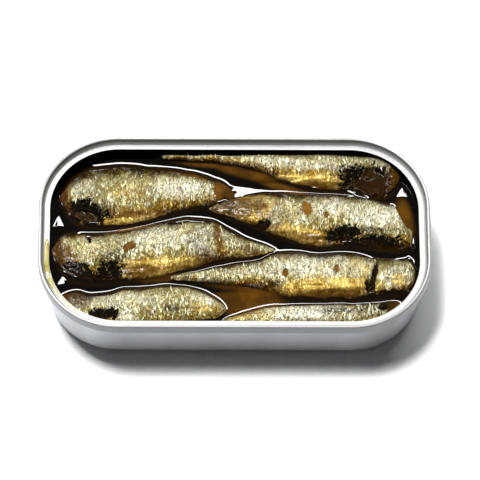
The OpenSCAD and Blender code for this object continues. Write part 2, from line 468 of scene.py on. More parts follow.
markKinds = {
    # how ragged and how soft the edge is, and how deep the mark goes, mm
    "pit": {"ragged": 0.30, "soft": 0.35, "deep": 1.5},
    "tear": {"ragged": 0.30, "soft": 0.14, "deep": 0.25},
    "crease": {"ragged": 0.25, "soft": 0.35, "deep": 0.8},
    "dark": {"ragged": 0.42, "soft": 0.55, "deep": 0.4},
    "gold": {"ragged": 0.30, "soft": 0.9, "deep": 0},
    "film": {"ragged": 0.34, "soft": 0.7, "deep": 0.12},
    # shine marks are painted highlights where the silver skin catches the light
    "paintedShine": {"ragged": 0.34, "soft": 1.1, "deep": 0},
    "crack": {"ragged": 0.34, "soft": 0.8, "deep": 0},
}

fishLook = {
    "rings": 230,  # along the fish
    "across": 110,  # over the back
    "under": 26,  # round the belly, below the oil
    "sink": 1.0,  # how far below the oil the back starts, mm
    "spread": 0.35,  # how much wider than its outline a fish is down there, mm
    "bulge": 0.3,  # how much wider a fish is below the oil, mm
    "dry": 0.74,  # the middle of the back stays this far above the oil, mm
    "wobble": 0.16,  # unevenness of the outline, mm
    "lumps": (0.30, 0.10),  # large and small unevenness of the back, mm
    "folds": 0.18,  # folds along the golden belly, mm
    # how much each kind of mark keeps the loose scales away
    "hidesScales": {"pit": 1, "tear": 1, "dark": 1, "film": 1, "gold": 0.9, "crease": 1, "paintedShine": 0.55},
    "wrinkleSpacing": 0.8,  # mm
    "wrinkleLength": 2.6,  # mm
    "wrinkleDepth": 0.19,  # mm
}

tinWall = {
    "corner": 21.6,  # radius of the seam's outer face, mm
    "inset": 1.55,  # the wall's inner face, in from the seam's outer face, mm
    "lean": 1.1,  # how much further in it stands at the foot, mm
    "neck": 17.0,  # height where the lean starts, mm
    "foot": 4.5,  # radius between wall and bottom, mm
    "clear": 0.18,  # room left between a fish and the wall, mm
}


def keepInside(x, y, z):
    # a fish that meets the wall lies flat against it
    wall = tinWall
    halfX, halfY = (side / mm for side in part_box("lid_ring")[1][:2])
    drop = np.clip((wall["neck"] - z) / (wall["neck"] - wall["foot"]), 0, 1)
    low = np.clip(wall["foot"] - z, 0, wall["foot"])
    inset = wall["inset"] + wall["lean"] * drop
    inset = inset + wall["foot"] - np.sqrt(wall["foot"] ** 2 - low ** 2)
    overX = np.maximum(np.abs(x) - (halfX - wall["corner"]), 0)
    overY = np.maximum(np.abs(y) - (halfY - wall["corner"]), 0)
    limit = wall["corner"] - inset - wall["clear"]
    share = np.minimum(1, limit / np.maximum(np.hypot(overX, overY), 1e-6))
    x = np.sign(x) * (np.minimum(np.abs(x), halfX - wall["corner"]) + overX * share)
    y = np.sign(y) * (np.minimum(np.abs(y), halfY - wall["corner"]) + overY * share)
    return x, y


def fishOutline(fish, along):
    # front and back edge and height of the back, with both ends rounded off
    stations = np.array(fish["stations"])
    front, rear, height = (easeRun(stations[:, 0], stations[:, k], along) for k in (1, 2, 3))
    first, last = stations[0, 0], stations[-1, 0]
    leftRound, rightRound = fish["tailRound"], fish["neckRound"]
    if fish["neckAt"] < 0:
        leftRound, rightRound = rightRound, leftRound
    toEnd = np.maximum(1 - (along - first) / leftRound, 1 - (last - along) / rightRound)
    close = np.sqrt(np.maximum(1 - np.clip(toEnd, 0, 1) ** 2.2, 0))
    middle, half = (front + rear) / 2, (rear - front) / 2
    wobble = fishLook["wobble"] * grain(along, 0 * along, 2.6, fish["seed"])
    return middle - half * close + wobble * close, middle + half * close + wobble * close, height * close


def slantAt(fish, along, across):
    # a neck that was cut at a slant leans towards its front edge
    stations = fish["stations"]
    reach = smooth((along - stations[0][0]) / (stations[-1][0] - stations[0][0]) * 3 - 2)
    return along + fish["slant"] * across * reach


def markShare(marks, kind, x, y, seed):
    # how much each point belongs to the marks of one kind
    ragged, soft = markKinds[kind]["ragged"], markKinds[kind]["soft"]
    edge = 0.6 * grain(x, y, 1.7, seed) + 0.5 * grain(x, y, 0.7, seed + 1) + 0.4 * grain(x, y, 0.35, seed + 2)
    share = np.zeros_like(x)
    for name, *ellipse, strength in marks:
        if name == kind:
            away = inSpot(x, y, *ellipse) + ragged * edge
            share = np.maximum(share, strength * smooth((1 + soft / 2 - away) / soft))
    return share


def ringPlaces(fish):
    # the places of the rings along a fish, closer together at both ends
    first, last = fish["stations"][0][0], fish["stations"][-1][0]
    margin, end = 0.035, 0.02
    turn = np.linspace(margin, 1 - margin, fishLook["rings"])
    even = (1 - np.cos(turn * math.pi)) / 2
    along = 0.75 * (turn - turn[0]) / (turn[-1] - turn[0]) + 0.25 * even
    return first + end + (last - first - 2 * end) * (along - along[0]) / (along[-1] - along[0])


def makeFish(name, fish):
    look, seed = fishLook, fish["seed"]
    first, last = fish["stations"][0][0], fish["stations"][-1][0]
    along = ringPlaces(fish)
    front, rear, height = fishOutline(fish, along)
    top = np.linspace(-1, 1, look["across"])
    top = np.sign(top) * (1 - (1 - np.abs(top)) ** 1.15)
    angle = np.linspace(0, math.pi, look["under"] + 2)[1:-1]
    across = np.concatenate([top, np.cos(angle)])
    down = np.concatenate([np.zeros(look["across"]), np.sin(angle)])[None, :]

    # the plain body: a domed back and a rounded belly under the oil
    place, side = np.meshgrid(along, across, indexing="ij")
    middle, half = (front + rear)[:, None] / 2, (rear - front)[:, None] / 2 + look["spread"]
    isTop = np.broadcast_to(np.arange(len(across)) < look["across"], place.shape)
    dome = (1 - np.minimum(np.abs(side), 1) ** 2.3) ** 0.46
    shore = oilTop - look["sink"]
    depth = (shore - floorTop) * np.clip(half / 3.2, 0.15, 1)
    bulge = np.sign(side) * look["bulge"] * np.sin(np.clip(down * math.pi, 0, math.pi))
    x = slantAt(fish, place, side)
    y = middle + side * half + np.where(isTop, 0, bulge)
    z = np.where(isTop, shore + (height[:, None] + look["sink"]) * dome, shore - depth * down ** 0.6)

    # marks and unevenness
    spots = {
        kind: markShare(fish["marks"], kind, x, y, seed + 3 * k) for k, kind in enumerate(markKinds)
    }
    spots["dark"] = np.maximum(spots["dark"] * (1 - spots["pit"]), spots["crease"])
    large, small = look["lumps"]
    relief = dome * (large * grain(x, y, 6.0, seed + 13) + small * grain(x, y, 2.2, seed + 15))
    relief = relief + look["folds"] * grain(x * 0.16, y, 0.85, seed + 17) * spots["gold"]
    relief = relief + 0.20 * grain(x, y, 0.7, seed + 19) * (spots["dark"] + spots["crack"])
    relief = relief + 0.08 * grain(x, y, 1.9, seed + 20) * spots["pit"]
    for kind, values in markKinds.items():
        relief = relief - values["deep"] * spots[kind]
    z = z + np.where(isTop, relief, 0)
    lowest = oilTop + look["dry"] + 0.10 * grain(x, y, 2.0, seed + 25)
    z = np.where(isTop & (dome > 0.7), np.maximum(z, lowest), z)
    x, y = keepInside(x, y, z)
    points = np.stack([x, y, z], -1).reshape(-1, 3)
    piece = makeMesh(name + "_skin", points, tubeFaces(look["rings"], len(across)))

    # what the skin's material and the loose scales follow
    toNeck = (place - first) if fish["neckAt"] < 0 else (last - place)
    if fish.get("dryNeck"):
        toNeck = toNeck + 9
    shares = [0, fish["belly"], 1 - fish["spine"], 1]
    band = np.interp((side + 1) / 2 + 0.05 * grain(x, y, 4.0, seed + 21), shares, [0, 0.30, 0.72, 1])
    bare = np.where(isTop, 1.0, 0.0)
    for kind, hides in look["hidesScales"].items():
        bare = bare * (1 - hides * spots[kind])
    bare = bare * smooth((z - oilTop - 1.0) / 0.5) * smooth((band - 0.24) / 0.2) * smooth((0.80 - band) / 0.1)
    clumps = smooth((grain(x, y, 3.6, seed + 23) + 0.35) / 0.5)
    values = {
        "plain": np.maximum(np.maximum(spots["tear"], 0.9 * spots["pit"]), 0.7 * spots["film"]),
        "scaly": bare * smooth((toNeck - 2.5) / 1.5) * clumps,
        "band": band,
        "lift": z - oilTop,
        "fromNeck": toNeck,
        "topside": np.where(isTop, 1.0, 0.0),
    }
    values.update((kind, share) for kind, share in spots.items() if kind != "crease")
    for key, value in values.items():
        giveValues(piece, key, value.reshape(-1))
    return piece


def addShapeValue(tree, name):
    node = addNode(tree, "GeometryNodeInputNamedAttribute", data_type="FLOAT")
    node.inputs["Name"].default_value = name
    return node.outputs["Attribute"]


def makeWrinkleTree():
    # wrinkles that run across a fish, pushed out of its skin
    numbers = ("Spacing", "Length", "Depth", "Seed")
    tree, entry = newShapeTree("skinWrinkles", {name: "Float" for name in numbers})
    join = tree.links.new
    place = addNode(tree, "GeometryNodeInputPosition")
    split = addNode(tree, "ShaderNodeSeparateXYZ")
    spot = addNode(tree, "ShaderNodeCombineXYZ")
    join(place.outputs[0], split.inputs[0])
    for axis, size in (("X", "Spacing"), ("Y", "Length")):
        inMm = times(tree, split.outputs[axis], 1 / mm)
        join(addMath(tree, "DIVIDE", inMm, entry.outputs[size]), spot.inputs[axis])
    join(entry.outputs["Seed"], spot.inputs["Z"])
    noise = addNode(tree, "ShaderNodeTexNoise")
    setInputs(noise, Scale=1.0, Detail=2.0, Roughness=0.6, Distortion=0.8)
    join(spot.outputs[0], noise.inputs["Vector"])
    wrinkle = minus(tree, noise.outputs["Fac"], 0.5)
    keep = times(tree, opposite(tree, addShapeValue(tree, "plain")), addShapeValue(tree, "topside"))
    height = times(tree, times(tree, wrinkle, keep), entry.outputs["Depth"])
    normal = addNode(tree, "GeometryNodeInputNormal")
    push = addNode(tree, "ShaderNodeVectorMath", operation="SCALE")
    join(normal.outputs[0], push.inputs[0])
    join(times(tree, height, 2 * mm), push.inputs["Scale"])
    move = addNode(tree, "GeometryNodeSetPosition")
    join(entry.outputs["Geometry"], move.inputs["Geometry"])
    join(push.outputs[0], move.inputs["Offset"])
    endShapeTree(tree, entry, move.outputs["Geometry"])
    return tree


skinStreaks = {
    # spacing in mm, stretch, bend, low and high end
    "drift": (4.0, (1, 1, 1), 0.5, 0.3, 0.7),
    "fine": (0.74, (1, 0.26, 1), 1.0, 0.455, 0.625),
    "creases": (1.25, (1, 0.42, 1), 1.9, 0.4, 0.6, "Lines"),
    "patches": (4.4, (1, 0.8, 1), 1.0, 0.45, 0.62),
    "glare": (3.2, (1, 0.6, 1), 1.2, 0.50, 0.66),
    "speck": (0.42, (1, 0.8, 1), 0.4, 0.42, 0.62),
    "folds": (1.2, (0.20, 1, 1), 0.9, 0.50, 0.62),
    "crackle": (0.55, (1, 0.8, 1), 1.2, 0.44, 0.52),
    "shade": (1.8, (1, 1, 1), 0.6, 0.42, 0.66),
    "flecks": (0.95, (1, 0.7, 1), 1.4, 0.50, 0.60),
}

skinColours = {
    # from the front edge of a fish to its back edge: its own gold belly, silver side and dark back, partly
    # painted light, with the lightest silver along the middle for light on the crest and the darkest front
    # edge for shade
    "across": [
        (0.00, (0.030, 0.011, 0.001)),
        (0.07, (0.150, 0.068, 0.004)),
        (0.20, (0.400, 0.250, 0.036)),
        (0.36, (0.480, 0.425, 0.165)),
        (0.52, (0.680, 0.685, 0.480)),
        (0.68, (0.600, 0.590, 0.360)),
        (0.79, (0.180, 0.145, 0.040)),
        (0.88, (0.040, 0.027, 0.008)),
        (1.00, (0.006, 0.004, 0.001)),
    ],
    # painted highlight colour of the shine marks
    "paintedShine": (0.86, 0.87, 0.76),
    "patch": (0.84, 0.74, 0.44),
    # painted glare: a near-white colour screened over the skin in streaks
    "glare": (1.0, 1.0, 0.92),
    # painted shade in the valleys between the fine streaks
    "valleyShade": (0.25, 0.20, 0.09),
    "pore": (0.45, 0.38, 0.24),
    # painted shade along the crease lines
    "crease": (0.030, 0.018, 0.004),
    "gold": ((0.150, 0.075, 0.004), (0.620, 0.460, 0.130)),
    # painted shade in the folds of the golden belly
    "foldShade": (0.110, 0.048, 0.003),
    "film": ((0.026, 0.0095, 0.0006), (0.080, 0.032, 0.0022)),
    "crackle": (0.006, 0.0035, 0.001),
    "flesh": ((0.050, 0.020, 0.0015), (0.110, 0.047, 0.003)),
    # the open belly: its own dark lining, made darker with painted shade of the hollow
    "belly": ((0.0020, 0.0010, 0.0003), (0.018, 0.0066, 0.0006)),
    "black": (0.0022, 0.0013, 0.0004),
    "oiled": (0.014, 0.0055, 0.0006),
}

skinFinish = {
    "metallic": 0.3,
    "roughness": 0.21,
    "relief": 0.19,  # mm
    "filmGloss": 0.22,
    "pitGloss": 0.15,
}


def makeSkinMaterial():
    paint = skinColours
    material, tree, shader = newMaterial("fishSkin")
    join = tree.links.new
    lift, band, fromNeck = (addValue(tree, name) for name in ("lift", "band", "fromNeck"))
    tear, pit, dark, crack, gold, filmed, paintedShine = (
        addValue(tree, name) for name in ("tear", "pit", "dark", "crack", "gold", "film", "paintedShine")
    )
    drift, fine, creases, patches, glare, speck, folds, crackle, shade, flecks = (
        addStreaks(tree, *values) for values in skinStreaks.values()
    )
    # silver skin, streaked with fine wrinkles, with painted light: a lighter middle, shine marks and glare
    # for highlights, and painted shade in the valleys and along the crease lines
    shift = plus(tree, times(tree, minus(tree, drift, 0.5), 0.12), times(tree, minus(tree, fine, 0.5), 0.13))
    # the ramp across the fish is partly painted light: a lighter middle for the lit crest, a darker front
    # edge for shade
    skin = addRamp(tree, plus(tree, band, shift), paint["across"])
    # painted highlights: the shine marks lighten the skin towards near white
    skin = addMix(tree, times(tree, paintedShine, 0.9), skin, paint["paintedShine"])
    skin = addMix(tree, times(tree, patches, 0.55), skin, paint["patch"], "MULTIPLY")
    # painted glare streaks
    skin = addMix(tree, times(tree, glare, 0.22), skin, paint["glare"], "SCREEN")
    # painted shade in the valleys between the fine streaks
    valleyShade = times(tree, opposite(tree, fine), minus(tree, 0.88, times(tree, paintedShine, 0.45)))
    skin = addMix(tree, valleyShade, skin, paint["valleyShade"], "MULTIPLY")
    skin = addMix(tree, times(tree, opposite(tree, speck), 0.35), skin, paint["pore"], "MULTIPLY")
    # painted shade along the crease lines
    skin = addMix(tree, times(tree, creases, 0.85), skin, paint["crease"])
    # golden bands with folds along them, and painted shade in the folds
    glaze = plus(tree, times(tree, fine, 0.4), times(tree, drift, 0.6))
    goldSkin = addMix(tree, glaze, *paint["gold"])
    # painted shade in the folds
    goldSkin = addMix(tree, times(tree, folds, 0.75), goldSkin, paint["foldShade"])
    skin = addMix(tree, times(tree, gold, 0.85), skin, goldSkin)
    # smooth brown oil over the skin, then black crackle, torn flesh and the open belly, whose near black is
    # partly painted shade of the hollow
    film = addMix(tree, drift, *paint["film"])
    skin = addMix(tree, filmed, skin, film)
    cracked = times(tree, crackle, crack)
    skin = addMix(tree, cracked, skin, paint["crackle"])
    skin = addMix(tree, tear, skin, addMix(tree, drift, *paint["flesh"]))
    # open belly near black, partly painted shade of the hollow
    skin = addMix(tree, pit, skin, addMix(tree, shade, *paint["belly"]))
    eaten = plus(tree, times(tree, speck, 0.2), times(tree, flecks, 0.55))
    blotch = addRange(tree, minus(tree, dark, eaten), 0.10, 0.34)
    skin = addMix(tree, blotch, skin, paint["black"])
    # the oil creeps up the edges and over the cut end
    wet = addRange(tree, lift, 0.30, 1.30, 1.0, 0.0)
    neck = addRange(tree, plus(tree, fromNeck, times(tree, fine, 0.8)), 2.0, 3.6, 1.0, 0.0)
    skin = addMix(tree, times(tree, neck, 0.98), skin, film)
    skin = addMix(tree, times(tree, wet, 0.97), skin, paint["oiled"])
    join(skin, shader.inputs["Base Color"])
    # bare silver shines, the rest is dull or lies under oil
    finish = skinFinish
    broken = plus(tree, plus(tree, tear, pit, True), plus(tree, blotch, cracked, True), True)
    oiled = greatest(tree, greatest(tree, wet, neck), filmed)
    bare = minus(tree, 1.0, plus(tree, broken, oiled, True), True)
    join(times(tree, bare, finish["metallic"]), shader.inputs["Metallic"])
    ridges = plus(tree, fine, times(tree, speck, 0.25))
    ridges = minus(tree, ridges, times(tree, creases, 0.7))
    bare = times(tree, bare, opposite(tree, times(tree, gold, 0.6)))
    rugged = greatest(tree, bare, times(tree, blotch, 0.5))
    join(addBump(tree, times(tree, ridges, rugged), finish["relief"]), shader.inputs["Normal"])
    join(plus(tree, finish["roughness"], times(tree, blotch, 0.30)), shader.inputs["Roughness"])
    gloss = plus(tree, times(tree, filmed, finish["filmGloss"]), times(tree, pit, finish["pitGloss"]), True)
    join(gloss, shader.inputs["Coat Weight"])
    setInputs(shader, Specular_IOR_Level=0.02, Coat_Roughness=0.06)
    return material


skinMaterial = makeSkinMaterial()
wrinkleTree = makeWrinkleTree()
fishPieces = []
for name, fish in fishes.items():
    piece = makeFish(name, fish)
    runTree(
        piece,
        wrinkleTree,
        Spacing=fishLook["wrinkleSpacing"],
        Length=fishLook["wrinkleLength"],
        Depth=fishLook["wrinkleDepth"],
        Seed=float(fish["seed"]),
        Material=skinMaterial,
    )
    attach(piece, "root")
    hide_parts(name)
    fishPieces.append(piece)
print("fish are laid in:", len(fishPieces))


scaleLook = {
    "perSquareMm": 0.65,
    "length": 2.3,  # mm
    "halfWidth": 0.085,  # share of the length
    "dome": 0.035,  # share of the length
    "sides": 10,
    "sizes": (0.45, 1.3),  # smallest and largest
    "tilt": 0.30,  # radians either way
    "lie": 0.72,  # how far a scale turns with the skin under it
    "seed": 5,
    "colours": ((0.48, 0.465, 0.26), (0.90, 0.91, 0.73)),
    # painted shade in the valleys of the fine streaks
    "valleyShade": (0.22, 0.17, 0.055),
}


def makeFlake():
    # one scale seen edge on: a thin domed sliver that lies across the fish
    look = scaleLook
    sides = look["sides"]
    points, faces = [(0, 0, look["dome"])], []
    for k in range(sides):
        a = 2 * math.pi * k / sides
        points.append((look["halfWidth"] * math.cos(a) * (1 + 0.2 * math.sin(a)), 0.5 * math.sin(a), 0))
    for k in range(sides):
        faces.append((0, 1 + k, 1 + (k + 1) % sides))
    faces.append(tuple(range(sides, 0, -1)))
    return makeMesh("one_scale", points, faces)


def makeScatterTree():
    # scales strewn over the bare skin and turned with it
    inputs = {"Density": "Float", "Width": "Float", "Tilt": "Float", "Seed": "Int", "Flake": "Object"}
    tree, entry = newShapeTree("looseScales", inputs)
    join = tree.links.new
    spread = addNode(tree, "GeometryNodeDistributePointsOnFaces", distribute_method="RANDOM")
    perMetre = times(tree, entry.outputs["Density"], 1e6)
    join(entry.outputs["Geometry"], spread.inputs["Mesh"])
    join(times(tree, perMetre, addShapeValue(tree, "scaly")), spread.inputs["Density"])
    join(entry.outputs["Seed"], spread.inputs["Seed"])
    flake = addNode(tree, "GeometryNodeObjectInfo", transform_space="ORIGINAL")
    join(entry.outputs["Flake"], flake.inputs["Object"])
    lean = addNode(tree, "FunctionNodeRandomValue", data_type="FLOAT_VECTOR")
    for end, side in (("Min", -1), ("Max", 1)):
        corner = addNode(tree, "ShaderNodeCombineXYZ")
        tilt = times(tree, entry.outputs["Tilt"], side)
        for axis in ("X", "Y", "Z"):
            join(tilt, corner.inputs[axis])
        join(corner.outputs[0], lean.inputs[end])
    join(entry.outputs["Seed"], lean.inputs["Seed"])
    turned = addNode(tree, "FunctionNodeAlignEulerToVector", axis="Z")
    turned.inputs["Factor"].default_value = scaleLook["lie"]
    join(lean.outputs["Value"], turned.inputs["Rotation"])
    join(spread.outputs["Normal"], turned.inputs["Vector"])
    size = addNode(tree, "FunctionNodeRandomValue", data_type="FLOAT")
    setInputs(size, Min=scaleLook["sizes"][0], Max=scaleLook["sizes"][1])
    join(entry.outputs["Seed"], size.inputs["Seed"])
    place = addNode(tree, "GeometryNodeInstanceOnPoints")
    join(spread.outputs["Points"], place.inputs["Points"])
    join(flake.outputs["Geometry"], place.inputs["Instance"])
    join(turned.outputs["Rotation"], place.inputs["Rotation"])
    join(times(tree, size.outputs["Value"], entry.outputs["Width"]), place.inputs["Scale"])
    endShapeTree(tree, entry, place.outputs["Instances"])
    return tree


def makeScaleMaterial():
    look = scaleLook
    material, tree, shader = newMaterial("looseScale")
    drift = addStreaks(tree, 3.0, (1, 1, 1), 0.4, 0.35, 0.65)
    fine = addStreaks(tree, 0.5, (1, 0.3, 1), 0.8, 0.42, 0.60)
    colour = addMix(tree, drift, *look["colours"])
    # painted shade in the valleys of the fine streaks
    colour = addMix(tree, times(tree, opposite(tree, fine), 0.75), colour, look["valleyShade"])
    tree.links.new(colour, shader.inputs["Base Color"])
    tree.links.new(addBump(tree, fine, 0.08), shader.inputs["Normal"])
    setInputs(shader, Metallic=0.3, Roughness=0.26, Specular_IOR_Level=0.2)
    return material


def makeScales():
    look = scaleLook
    flake = makeFlake()
    scatterTree = makeScatterTree()
    paint = makeScaleMaterial()
    skins = []
    for piece in fishPieces:
        skin = piece.copy()
        skin.data = piece.data.copy()
        bpy.context.scene.collection.objects.link(skin)
        runTree(
            skin,
            scatterTree,
            Density=look["perSquareMm"],
            Width=look["length"],
            Tilt=look["tilt"],
            Seed=look["seed"],
            Flake=flake,
            Material=paint,
        )
        skins.append(skin)
    build = bmesh.new()
    for skin in skins:
        build.from_mesh(skin.data)
    mesh = bpy.data.meshes.new("loose_scales")
    build.to_mesh(mesh)
    build.free()
    mesh.materials.append(paint)
    mesh.shade_smooth()
    # the first fish's copy goes on as the piece for all the scales
    whole, *spare = skins
    for skin in spare:
        bpy.data.objects.remove(skin)
    bpy.data.objects.remove(flake)
    whole.data = mesh
    whole.name = "loose_scales"
    return whole


scales = makeScales()
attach(scales, "root")
print("loose scales:", len(scales.data.polygons), "faces")


oilLook = {
    "columns": 360,
    "rows": 210,
    "wallIn": 1.60,  # the oil's edge lies within the wall's sheet, mm in from the seam's outer face
    "sides": [(0.10, oilTop - 1.0), (1.08, 6.0), (2.6, 3.2), (5.0, floorTop + 0.3)],  # further in, height
    "creep": 0.34,  # rise against fish and wall, mm
    "reach": 0.60,  # how far the rise runs out, mm
    # where the oil lies calm against a fish: x, y, radius
    "calm": [
        (-47.5, 9, 4.5), (-49, -6, 6), (-45, 0.5, 5.5), (46.5, 2, 4), (40, -5, 5.5), (40, 12.5, 5),
        (0.2, 13.2, 2.4),
    ],
    # low slopes of oil at the wall that face the back: front tip x and y, width, length
    "slopes": [
        (-47.1, 3.6, 1.7, 3.9), (-45.2, -14.2, 2.2, 4.4), (45.2, 13.1, 1.7, 3.8), (46.6, -7.4, 1.7, 3.2),
    ],
    "slopeRise": 0.095,
    # a wide slope of oil that fills the corner between three fish, along the back edge of one
    "wedgeAt": "fish_4",
    "wedgeFrom": 9,  # only behind this y
    "wedgeX": [-4, -1, 6, 12, 20],
    "wedgeWidths": [0, 4.0, 2.0, 1.3, 0],
    "wedgeRise": 0.09,
    # shallow amber places, painted light showing through thin oil over the fish: centre x and y, half length,
    # half width, turn in degrees
    "amber": [
        (3, 21.0, 9, 2.0, -16), (-8, 24.0, 9, 1.6, -6), (14, 15.6, 7, 1.2, -18), (45.8, 6.5, 2.2, 6.5, 10),
        (14, 2.0, 9, 1.6, -26), (2, -14.8, 9, 1.3, -6), (3, -17.2, 11, 1.7, 4), (-16, -12.0, 10, 1.0, 6),
        (-1, 8.8, 5, 1.2, -6), (-27, 3.0, 7, 0.6, 10), (4, -20.0, 9, 3.0, 6),
    ],
    # near black for deep oil, partly painted shade
    "deepShadedColour": (0.004, 0.0027, 0.001),
    "amberColour": (0.220, 0.088, 0.005),
}


def distanceTo(outline, x, y):
    # distance from each point to a closed outline, below zero inside it
    best = np.full(x.shape, 1e9)
    inside = np.zeros(x.shape, bool)
    for (ax, ay), (bx, by) in zip(outline, np.roll(outline, -1, 0)):
        dx, dy = bx - ax, by - ay
        t = np.clip(((x - ax) * dx + (y - ay) * dy) / max(dx * dx + dy * dy, 1e-9), 0, 1)
        best = np.minimum(best, (x - ax - t * dx) ** 2 + (y - ay - t * dy) ** 2)
        if ay != by:
            inside ^= ((ay > y) != (by > y)) & (x < (bx - ax) * (y - ay) / (by - ay) + ax)
    return np.where(inside, -1, 1) * np.sqrt(best)


def outlineOf(fish):
    along = np.linspace(fish["stations"][0][0] + 0.03, fish["stations"][-1][0] - 0.03, 90)
    front, rear, height = fishOutline(fish, along)
    frontSide = np.stack([slantAt(fish, along, -1.0), front], 1)
    rearSide = np.stack([slantAt(fish, along, 1.0), rear], 1)
    return np.concatenate([frontSide, rearSide[::-1]])


def oilSheet():
    # rows of points that fill the tin's inside, and how far each stands from its edge
    look = oilLook
    halfX, halfY = (side / mm - look["wallIn"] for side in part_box("lid_ring")[1][:2])
    radius = tinWall["corner"] - look["wallIn"]
    share = np.linspace(-1, 1, look["rows"])
    share = np.sin(share * math.pi / 2) * 0.5 + share * 0.5
    rowY = share * halfY
    over = np.clip(np.abs(rowY) - (halfY - radius), 0, radius)
    reach = halfX - radius + np.sqrt(np.maximum(radius ** 2 - over ** 2, 0))
    y, across = np.meshgrid(rowY, np.linspace(-1, 1, look["columns"]), indexing="ij")
    x = across * reach[:, None]
    cornerX, cornerY = np.abs(x) - (halfX - radius), np.abs(y) - (halfY - radius)
    fromWall = np.minimum(halfX - np.abs(x), halfY - np.abs(y))
    inCorner = (cornerX > 0) & (cornerY > 0)
    fromWall = np.where(inCorner, radius - np.hypot(cornerX, cornerY), fromWall)
    return x, y, fromWall, np.array([halfX, halfY])


def oilSurface(x, y, fromWall):
    # the oil climbs the fish and the wall and slopes between them
    look = oilLook
    creep = np.full(x.shape, look["creep"])
    for centreX, centreY, radius in look["calm"]:
        creep = creep * smooth(np.hypot(x - centreX, y - centreY) / radius - 0.3)
    z = np.full(x.shape, oilTop)
    nearest = np.full(x.shape, 99.0)
    for name, fish in fishes.items():
        away = distanceTo(outlineOf(fish), x, y)
        nearest = np.minimum(nearest, np.abs(away))
        outside = np.maximum(away, 0)
        # it keeps climbing till it meets the skin
        inward = 1 - np.maximum(away, -look["reach"]) / look["reach"]
        climb = creep * np.where(away > 0, np.exp(-outside / look["reach"]), inward)
        climb = climb * smooth(2.6 + away)
        if name == look["wedgeAt"]:
            width = np.interp(x, look["wedgeX"], look["wedgeWidths"])
            wedge = look["wedgeRise"] * np.clip(width - outside, 0, None)
            climb = np.maximum(climb, wedge * (y > look["wedgeFrom"]))
        z = z + climb
    z = z + look["creep"] * np.exp(-fromWall / (1.3 * look["reach"]))
    for tipX, tipY, width, length in look["slopes"]:
        run = length * np.maximum(1 - np.abs(x - tipX) / width, 0)
        back = y - tipY
        fall = look["slopeRise"] * np.clip(run - np.maximum(back, 0), 0, None)
        z = z + fall * smooth(1 + back / 0.5) * smooth(nearest / 0.8)
    return z, nearest


def makeOil():
    look = oilLook
    x, y, fromWall, half = oilSheet()
    z, nearest = oilSurface(x, y, fromWall)
    rows, columns = x.shape
    points = np.stack([x, y, z], -1).reshape(-1, 3)
    faces = [
        (i * columns + k, i * columns + k + 1, (i + 1) * columns + k + 1, (i + 1) * columns + k)
        for i in range(rows - 1) for k in range(columns - 1)
    ]
    # the edge runs round the sheet and down to a flat base
    lastRow = (rows - 1) * columns
    edge = list(range(columns)) + [i * columns + columns - 1 for i in range(1, rows)]
    edge += [lastRow + k for k in range(columns - 2, -1, -1)]
    edge += [i * columns for i in range(rows - 2, 0, -1)]
    rim, above, allPoints = points[edge], list(edge), [points]
    count, size = len(edge), len(points)
    for inset, level in look["sides"]:
        ring = np.column_stack([rim[:, :2] * (1 - inset / half), np.full(count, level)])
        below = list(range(size, size + count))
        size += count
        allPoints.append(ring)
        faces += [(above[k], below[k], below[(k + 1) % count], above[(k + 1) % count]) for k in range(count)]
        above = below
    faces.append(tuple(reversed(above)))
    piece = makeMesh("oil_body", np.concatenate(allPoints), faces)
    amber = np.zeros(x.shape)
    for ellipse in look["amber"]:
        amber = np.maximum(amber, smooth(1.5 - 1.1 * inSpot(x, y, *ellipse)))
    sides = size - len(points)
    giveValues(piece, "amber", np.concatenate([amber.reshape(-1), np.zeros(sides)]))
    giveValues(piece, "nearFish", np.concatenate([nearest.reshape(-1), np.full(sides, 9.0)]))
    return piece


def makeOilMaterial():
    look = oilLook
    material, tree, shader = newMaterial("oil")
    drift = addStreaks(tree, 7.0, (1, 1, 1), 0.4, 0.35, 0.65)
    near = addRange(tree, addValue(tree, "nearFish"), 0.0, 1.0, 0.10, 0.0)
    shallow = times(tree, addValue(tree, "amber"), addRange(tree, drift, 0.0, 1.0, 0.55, 1.0))
    # painted light: brown near the fish and in the amber places where light shows through thin oil, near
    # black elsewhere, partly painted shade
    colour = addMix(tree, greatest(tree, shallow, near), look["deepShadedColour"], look["amberColour"])
    tree.links.new(colour, shader.inputs["Base Color"])
    setInputs(shader, Roughness=0.03, IOR=1.62)
    return material


oilPiece = makeOil()
oilPiece.data.materials.append(makeOilMaterial())
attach(oilPiece, "root")
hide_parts("oil")
print("oil is poured")


puddleLook = {
    "inset": 2.36,  # from the seam's outer face to the middle of the puddle, mm
    "drop": 1.8,  # from the seam's crown down to the ledge, mm
    "from": -1.5,  # where it starts along the left side, mm
    "length": 26.0,
    "halfWidth": 0.66,
    "height": 0.34,
    "thinning": 0.65,  # how much thinner it ends
    "pinch": (0.44, 0.03, 0.45),  # where it narrows, how long and how much
    "rings": 150,
    "around": 12,
    "colours": ((0.20, 0.155, 0.035), (0.30, 0.26, 0.095)),
}


